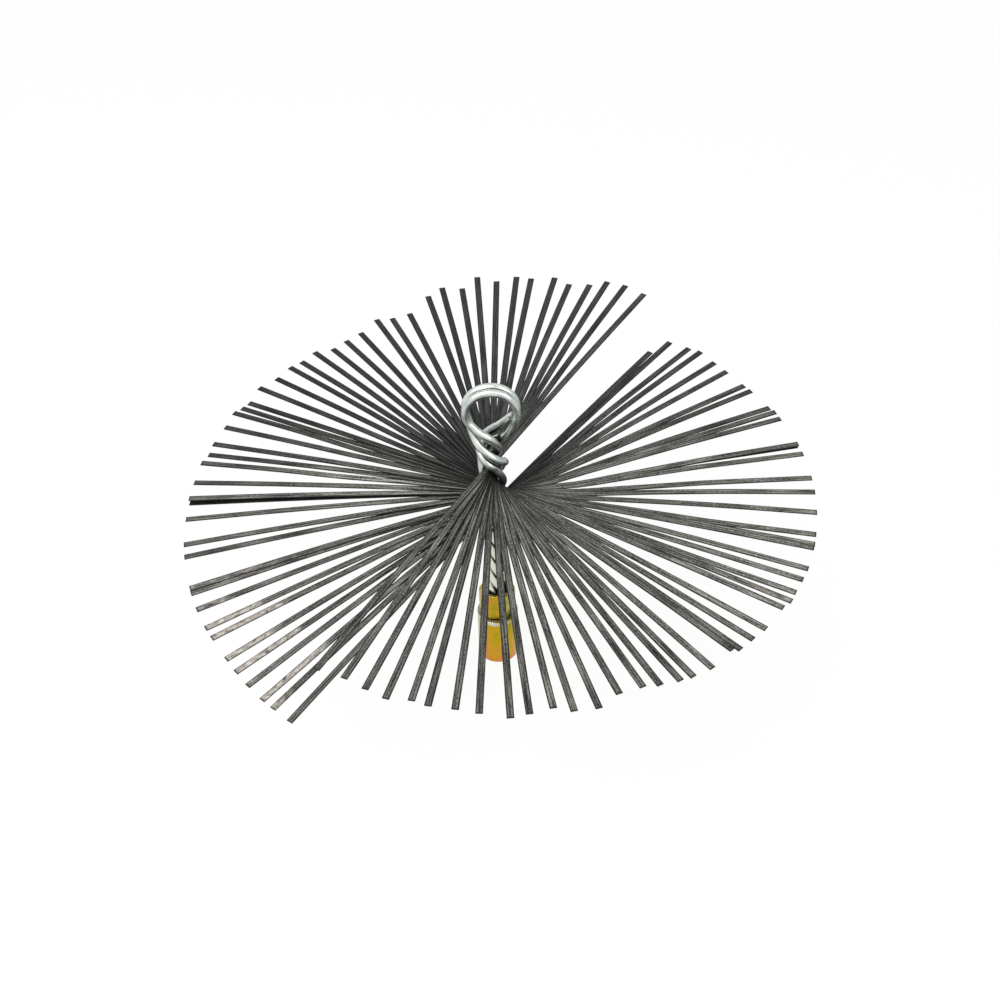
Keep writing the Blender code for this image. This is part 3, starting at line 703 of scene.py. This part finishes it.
def leg_points(shares, along, eye_side):
    """One leg's route from its lower end up to where its ring of the eye starts."""
    arc_height = EYE_CENTRE_HEIGHT - EYE_RADIUS * math.sin(EYE_ARC_BELOW_CENTRE)
    lead = PACK_TOP + PACK_MARGIN
    pack_angle, pack_radius = leg_place(np.array([lead - PACK_MARGIN / 2, lead]), along, eye_side)
    turn = 2 * math.pi * round((pack_angle[1] - math.radians(shares[0][1])) / (2 * math.pi))
    heights = [lead - PACK_MARGIN / 2, lead]
    angles = list(pack_angle - turn)
    radii = [float(pack_radius[0]), float(pack_radius[1])]
    for height_share, degrees, radius_share in shares:
        heights.append(lead + height_share * (EYE_CENTRE_HEIGHT - lead))
        angles.append(math.radians(degrees))
        radii.append(radius_share * WIRE_DIAMETER)
    side = -1 if math.cos(angles[-1]) < 0 else 1
    for share in (1.0, 0.5):
        below = EYE_ARC_BELOW_CENTRE * share
        x = side * EYE_RADIUS * math.cos(below)
        y = eye_side * (WIRE_RADIUS + WIRE_CLEARANCE)
        heights.append(EYE_CENTRE_HEIGHT - EYE_RADIUS * math.sin(below))
        angle = math.atan2(y, x)
        angles.append(angle + 2 * math.pi * round((angles[-1] - angle) / (2 * math.pi)))
        radii.append(math.hypot(x, y))
    low = np.linspace(WIRE_END_HEIGHT, lead, 150, endpoint=False)
    high = np.linspace(lead, arc_height, 90, endpoint=False)
    low_angle, low_radius = leg_place(low, along, eye_side)
    angle = np.concatenate([low_angle - turn, smooth_through(heights, angles, high)])
    radius = np.concatenate([low_radius, smooth_through(heights, radii, high)])
    height = np.concatenate([low, high])
    return np.stack([radius * np.cos(angle) + stem_drift(height), radius * np.sin(angle), height], axis=1)


def eye_points(eye_side):
    angles = np.linspace(math.pi + EYE_ARC_BELOW_CENTRE, -EYE_ARC_BELOW_CENTRE, 70)
    offset = eye_side * (WIRE_RADIUS + WIRE_CLEARANCE)
    radius = EYE_RADIUS - BOX_MARGIN
    height = EYE_CENTRE_HEIGHT + radius * np.sin(angles)
    across = radius * np.cos(angles) + stem_drift(height)
    return np.stack([across, np.full(len(angles), offset), height], axis=1)


def even_route(route, step):
    """The route at even steps, rounded a little where its parts meet."""
    steps = np.linalg.norm(np.diff(route, axis=0), axis=1)
    reach = np.concatenate([[0.0], np.cumsum(steps)])
    count = int(reach[-1] / step)
    wanted = np.linspace(0.0, reach[-1], count)
    even = np.stack([np.interp(wanted, reach, route[:, k]) for k in range(3)], axis=1)
    for _ in range(ROUTE_SMOOTHINGS):
        even[1:-1] = (even[:-2] + 2 * even[1:-1] + even[2:]) / 4
    return even


def crevice_shares(points, own_route, other_route):
    """Painted shade: 1 where a point of a wire's surface touches another strand, and 0 from CREVICE_REACH
    away from it.

    In the neck the painted shade reaches a little further, and the strands' inner sides get it too.
    """
    height = points[..., 2]
    over_pack = smooth_step(PACK_TOP - 0.004, PACK_TOP, height)
    under_eye = smooth_step(EYE_CENTRE_HEIGHT - 0.005, EYE_CENTRE_HEIGHT - 0.010, height)
    neck = over_pack * under_eye
    # Painted shade on the strands' inner sides in the neck
    inner_side = neck * smooth_step(0.0038, 0.0027, np.hypot(points[..., 0], points[..., 1]))
    nearest = np.full(points.shape[:2], np.inf)
    rows = np.arange(len(own_route))
    skip = int(4 * WIRE_DIAMETER / WIRE_STEP)
    for k, spot in enumerate(own_route):
        away = np.abs(rows - k) > skip
        nearest[away] = np.minimum(nearest[away], np.linalg.norm(points[away] - spot, axis=2))
    for spot in other_route:
        nearest = np.minimum(nearest, np.linalg.norm(points - spot, axis=2))
    reach = CREVICE_REACH * (1 + NECK_CREVICE_GAIN * neck)
    apart = np.clip((nearest - WIRE_RADIUS - WIRE_CLEARANCE) / reach, 0.0, 1.0)
    return np.maximum(inner_side, 1 - apart)


def wire_radii(route):
    """The wire's radius along its route: a little more in the neck, and less at the cut ends."""
    height = route[:, 2]
    over_pack = smooth_step(PACK_TOP + 0.0005, PACK_TOP + 0.0030, height)
    under_eye = smooth_step(EYE_CENTRE_HEIGHT - 0.003, EYE_CENTRE_HEIGHT - 0.009, height)
    radii = WIRE_RADIUS * (1 + NECK_SWELL * over_pack * under_eye)
    radii[0] = WIRE_RADIUS * WIRE_END_SHARE
    radii[-1] = WIRE_RADIUS * WIRE_END_SHARE
    return radii


def add_wire(name, route, other_route, material, node):
    """A round wire along a route, with cross-sections that don't spin round it."""
    ahead = np.gradient(route, axis=0)
    ahead /= np.linalg.norm(ahead, axis=1)[:, None]
    side = np.empty_like(route)
    start = np.cross(ahead[0], (1.0, 0.0, 0.0))
    side[0] = start / np.linalg.norm(start)
    for i in range(1, len(route)):
        carried = side[i - 1] - ahead[i] * (side[i - 1] @ ahead[i])
        side[i] = carried / np.linalg.norm(carried)
    up = np.cross(ahead, side)
    angles = np.linspace(0.0, 2 * math.pi, WIRE_SIDES, endpoint=False)
    ring = side[:, None] * np.cos(angles)[None, :, None] + up[:, None] * np.sin(angles)[None, :, None]
    points = route[:, None] + ring * wire_radii(route)[:, None, None]
    uvs = {}
    for i in range(len(route)):
        for j in range(WIRE_SIDES + 1):
            uvs[i, j] = (j / WIRE_SIDES, i * WIRE_STEP / WIRE_MAP_LENGTH)
    painted = {
        "crevice": crevice_shares(points, route, other_route),
        # Painted light and shade by which way the surface faces
        "painted_light_facing": 0.5 + 0.5 * ring @ np.array(PAINTED_LIGHT_DIRECTION),
    }
    piece = grid_piece(name, points, uvs, material, True, painted)
    face_outwards(piece)
    dress(piece, "galvanised_wire", node)


def wire_route(left_shares, right_shares, eye_side):
    left = leg_points(left_shares, -1, eye_side)
    right = leg_points(right_shares, 1, eye_side)
    return even_route(np.concatenate([left, eye_points(eye_side), right[::-1]]), WIRE_STEP)


# Connector

def round_between(path, rounding, count=4):
    """Rounds the inner corners of a path of (radius, height) points."""
    out = [path[0]]
    for before, corner, after in zip(path[:-2], path[1:-1], path[2:]):
        corner_v = np.array(corner)
        to_before = np.array(before) - corner_v
        to_after = np.array(after) - corner_v
        reach = min(rounding, 0.45 * np.linalg.norm(to_before), 0.45 * np.linalg.norm(to_after))
        start = corner_v + to_before / np.linalg.norm(to_before) * reach
        end = corner_v + to_after / np.linalg.norm(to_after) * reach
        for k in range(count + 1):
            t = k / count
            out.append(tuple((1 - t) ** 2 * start + 2 * t * (1 - t) * corner_v + t * t * end))
    out.append(path[-1])
    return out


def thread_radius(z, around):
    """The socket's radius round one level of its thread, which starts in a cone and runs out inside."""
    depth = THREAD_ROOT_RADIUS - SOCKET_RADIUS
    phase = (z / THREAD_PITCH - around) % 1.0
    flank = np.clip(np.abs(phase - 0.5) * 2 * THREAD_FLANK_SLOPE - THREAD_CREST_SHARE, 0.0, 1.0)
    radius = SOCKET_RADIUS + depth * (1 - flank)
    lead_in = THREAD_MOUTH_RADIUS - z
    run_out = SOCKET_RADIUS + depth * np.clip((THREAD_RUN_OUT_HEIGHT - z) / THREAD_RUN_OUT_LENGTH, 0.0, 1.0)
    return np.minimum(np.maximum(radius, lead_in), run_out)


def add_sleeve(material):
    outside = round_between([
        (0.0, SEAT_FLOOR),
        (SEAT_RADIUS, SEAT_FLOOR),
        (SEAT_RADIUS, SLEEVE_HEIGHT),
        (SLEEVE_RADIUS, SLEEVE_HEIGHT),
        (SLEEVE_RADIUS, SLEEVE_EDGE_ROUND),
    ], EDGE_ROUND)[:-1]
    for angle in np.linspace(0.0, math.pi / 2, 9):
        inwards = SLEEVE_EDGE_ROUND * (1 - math.cos(angle))
        outside.append((SLEEVE_RADIUS - inwards, SLEEVE_EDGE_ROUND * (1 - math.sin(angle))))
    outside.append((THREAD_MOUTH_RADIUS, 0.0))
    rows = [np.full(SLEEVE_SEGMENTS, radius) for radius, _ in outside]
    heights = [z for _, z in outside]
    around = np.linspace(0.0, 1.0, SLEEVE_SEGMENTS, endpoint=False)
    for z in np.arange(THREAD_STEP, SOCKET_DEPTH - 0.0006, THREAD_STEP):
        rows.append(thread_radius(z, around))
        heights.append(z)
    for radius, z in ((SOCKET_RADIUS - 0.0003, SOCKET_DEPTH - 0.0004), (0.0, SOCKET_DEPTH)):
        rows.append(np.full(SLEEVE_SEGMENTS, radius))
        heights.append(z)
    polar_piece("sleeve_finished", rows, heights, material, "threaded_sleeve", pointed=True)


def polar_piece(name, rows, heights, material, node, pointed):
    """A piece from rows of radii round the axis. A pointed one starts and ends there, others join up."""
    segments = len(rows[0])
    angles = np.linspace(0.0, 2 * math.pi, segments, endpoint=False)
    points = np.empty((len(rows), segments, 3))
    for i, (radii, height) in enumerate(zip(rows, heights)):
        points[i, :, 0] = radii * np.cos(angles)
        points[i, :, 1] = radii * np.sin(angles)
        points[i, :, 2] = height
    if not pointed:
        points = np.concatenate([points, points[:1]])
    uvs = {}
    for i in range(len(points)):
        for j in range(segments + 1):
            uvs[i, j] = (j / segments, i / len(points))
    piece = grid_piece(name, points, uvs, material, False)
    mesh = piece.data
    shape = bmesh.new()
    shape.from_mesh(mesh)
    bmesh.ops.remove_doubles(shape, verts=shape.verts, dist=0.0000005)
    bmesh.ops.recalc_face_normals(shape, faces=shape.faces)
    shape.to_mesh(mesh)
    shape.free()
    face_outwards(piece)
    dress(piece, "yellow_zinc", node)


def soft_min(first, second, softness):
    """The lower of two values, rounded where they cross."""
    share = np.clip(0.5 + 0.5 * (second - first) / softness, 0.0, 1.0)
    return second + (first - second) * share - softness * share * (1 - share)


def add_collar(material):
    angles = np.linspace(0.0, 2 * math.pi, COLLAR_SEGMENTS, endpoint=False)
    from_flat = angles % (math.pi / 3) - math.pi / 6
    flat_radius = COLLAR_ACROSS_FLATS / 2 / np.cos(from_flat)
    spigot_bottom = COLLAR_BOTTOM - SPIGOT_LENGTH
    inside = round_between([
        (ROPE_BORE_RADIUS, spigot_bottom),
        (ROPE_BORE_RADIUS, COLLAR_TOP - MOUTH_DEPTH),
        (MOUTH_RADIUS, COLLAR_TOP - 0.0001),
        (COLLAR_FACE_RADIUS, COLLAR_TOP),
    ], EDGE_ROUND)
    below = round_between([
        (COLLAR_FACE_RADIUS, COLLAR_BOTTOM),
        (SPIGOT_RADIUS, COLLAR_BOTTOM),
        (SPIGOT_RADIUS, spigot_bottom),
        (ROPE_BORE_RADIUS + 0.0002, spigot_bottom),
    ], SPIGOT_EDGE_ROUND)
    rows = [np.full(COLLAR_SEGMENTS, radius) for radius, _ in inside]
    heights = [z for _, z in inside]

    # Levels down the hexagon, close together where the chamfers are
    upper_shares = np.linspace(0.0, 0.16, 18)[1:]
    middle_shares = np.linspace(0.2, 0.8, 5)
    lower_shares = np.linspace(0.84, 1.0, 18)[:-1]
    for share in np.concatenate([upper_shares, middle_shares, lower_shares]):
        z = COLLAR_TOP - (COLLAR_TOP - COLLAR_BOTTOM) * share
        from_end = min(COLLAR_TOP - z, z - COLLAR_BOTTOM)
        chamfer = COLLAR_FACE_RADIUS + from_end / COLLAR_CHAMFER_SLOPE
        rows.append(soft_min(flat_radius, np.full(COLLAR_SEGMENTS, chamfer), EDGE_SOFTNESS))
        heights.append(z)
    rows += [np.full(COLLAR_SEGMENTS, radius) for radius, _ in below]
    heights += [z for _, z in below]
    polar_piece("collar_finished", rows, heights, material, "hex_collar", pointed=False)


# Build the pieces

steel = strip_material()
wire = wire_material()

for i in range(1, STRIP_COUNT + 1):
    add_strip(f"spring_strip_{i:02d}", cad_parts[f"strip_{i:02d}"], i, steel)
front_route = wire_route(FRONT_LEFT_SHARES, FRONT_RIGHT_SHARES, -1)
back_route = wire_route(BACK_LEFT_SHARES, BACK_RIGHT_SHARES, 1)
add_wire("front_wire_finished", front_route, back_route, wire, "front_wire")
add_wire("back_wire_finished", back_route, front_route, wire, "back_wire")
add_sleeve(sleeve_material())
add_collar(collar_material())


# Camera, fitted to the photograph

FOCAL_PIXELS = 1745.0
IMAGE_PIXELS = 1000.0
CAMERA_DISTANCE = 0.6923
CAMERA_ELEVATION = math.radians(41.67)
CAMERA_ROLL = math.radians(-1.63)
SENSOR_SIZE = 36.0
AIM_X = 0.00231
AIM_Z = 0.08529


def add_camera():
    data = bpy.data.cameras.new("camera")
    data.sensor_width = SENSOR_SIZE
    data.sensor_height = SENSOR_SIZE
    data.lens = FOCAL_PIXELS / IMAGE_PIXELS * SENSOR_SIZE
    data.clip_start = 0.01
    camera = bpy.data.objects.new("camera", data)
    bpy.context.scene.collection.objects.link(camera)
    sin_e = math.sin(CAMERA_ELEVATION)
    cos_e = math.cos(CAMERA_ELEVATION)
    right = Vector((1.0, 0.0, 0.0))
    up = Vector((0.0, sin_e, cos_e))
    back = Vector((0.0, -cos_e, sin_e))
    cos_r = math.cos(CAMERA_ROLL)
    sin_r = math.sin(CAMERA_ROLL)
    x_axis = right * cos_r + up * sin_r
    y_axis = up * cos_r - right * sin_r
    place = Vector((AIM_X, -CAMERA_DISTANCE * cos_e, CAMERA_DISTANCE * sin_e + AIM_Z))
    camera.matrix_world = Matrix((
        (x_axis.x, y_axis.x, back.x, place.x),
        (x_axis.y, y_axis.y, back.y, place.y),
        (x_axis.z, y_axis.z, back.z, place.z),
        (0.0, 0.0, 0.0, 1.0),
    ))
    bpy.context.scene.camera = camera


# Light and floor

LIGHT_AIM = (0.0, 0.0, 0.09)
WORLD_STRENGTH = 0.55
FLOOR_GLOW = 0.93
FLOOR_HALF_SIZE = 6.0
FLOOR_DROP = 0.0006


def add_area(name, place, size, watts):
    data = bpy.data.lights.new(name, "AREA")
    data.shape = "RECTANGLE"
    data.size = size
    data.size_y = size
    data.energy = watts
    lamp = bpy.data.objects.new(name, data)
    lamp.location = place
    lamp.rotation_euler = (Vector(LIGHT_AIM) - Vector(place)).to_track_quat("-Z", "Y").to_euler()
    bpy.context.scene.collection.objects.link(lamp)


def bright_for(tree, seen, unseen):
    """A strength that is one value for camera, glossy and transmission rays and another for the rest."""
    path = tree.nodes.new("ShaderNodeLightPath")
    first = tree.nodes.new("ShaderNodeMath")
    first.operation = "MAXIMUM"
    tree.links.new(path.outputs["Is Camera Ray"], first.inputs[0])
    tree.links.new(path.outputs["Is Glossy Ray"], first.inputs[1])
    second = tree.nodes.new("ShaderNodeMath")
    second.operation = "MAXIMUM"
    tree.links.new(first.outputs[0], second.inputs[0])
    tree.links.new(path.outputs["Is Transmission Ray"], second.inputs[1])
    blend = tree.nodes.new("ShaderNodeMix")
    blend.data_type = "FLOAT"
    tree.links.new(second.outputs[0], blend.inputs[0])
    blend.inputs[2].default_value = unseen
    blend.inputs[3].default_value = seen
    return blend.outputs[0]


def add_world():
    world = bpy.data.worlds.new("studio")
    world.use_nodes = True
    bpy.context.scene.world = world
    tree = world.node_tree
    background = tree.nodes["Background"]
    background.inputs["Color"].default_value = (1.0, 1.0, 1.0, 1.0)
    tree.links.new(bright_for(tree, 1.0, WORLD_STRENGTH), background.inputs["Strength"])


def add_floor():
    half = FLOOR_HALF_SIZE
    mesh = bpy.data.meshes.new("floor")
    corners = [(-half, -half, 0), (half, -half, 0), (half, half, 0), (-half, half, 0)]
    mesh.from_pydata(corners, [], [(0, 1, 2, 3)])
    floor = bpy.data.objects.new("floor", mesh)
    floor.location.z = -FLOOR_DROP
    bpy.context.scene.collection.objects.link(floor)
    material = bpy.data.materials.new("floor_white")
    material.use_nodes = True
    tree = material.node_tree
    shader = tree.nodes["Principled BSDF"]
    shader.inputs["Base Color"].default_value = (0.86, 0.86, 0.86, 1.0)
    shader.inputs["Roughness"].default_value = 0.9
    shader.inputs["Specular IOR Level"].default_value = 0.0
    glow = tree.nodes.new("ShaderNodeEmission")
    glow.inputs["Color"].default_value = (1.0, 1.0, 1.0, 1.0)
    blend = tree.nodes.new("ShaderNodeMixShader")
    tree.links.new(bright_for(tree, FLOOR_GLOW, 0.0), blend.inputs[0])
    tree.links.new(shader.outputs[0], blend.inputs[1])
    tree.links.new(glow.outputs[0], blend.inputs[2])
    tree.links.new(blend.outputs[0], tree.nodes["Material Output"].inputs["Surface"])
    mesh.materials.append(material)


add_camera()
add_world()
add_floor()
add_area("key", (-0.45, -0.35, 1.0), 0.8, 13.0)
add_area("fill", (0.7, -0.5, 0.7), 0.6, 4.0)
bpy.context.scene.view_settings.view_transform = "Standard"
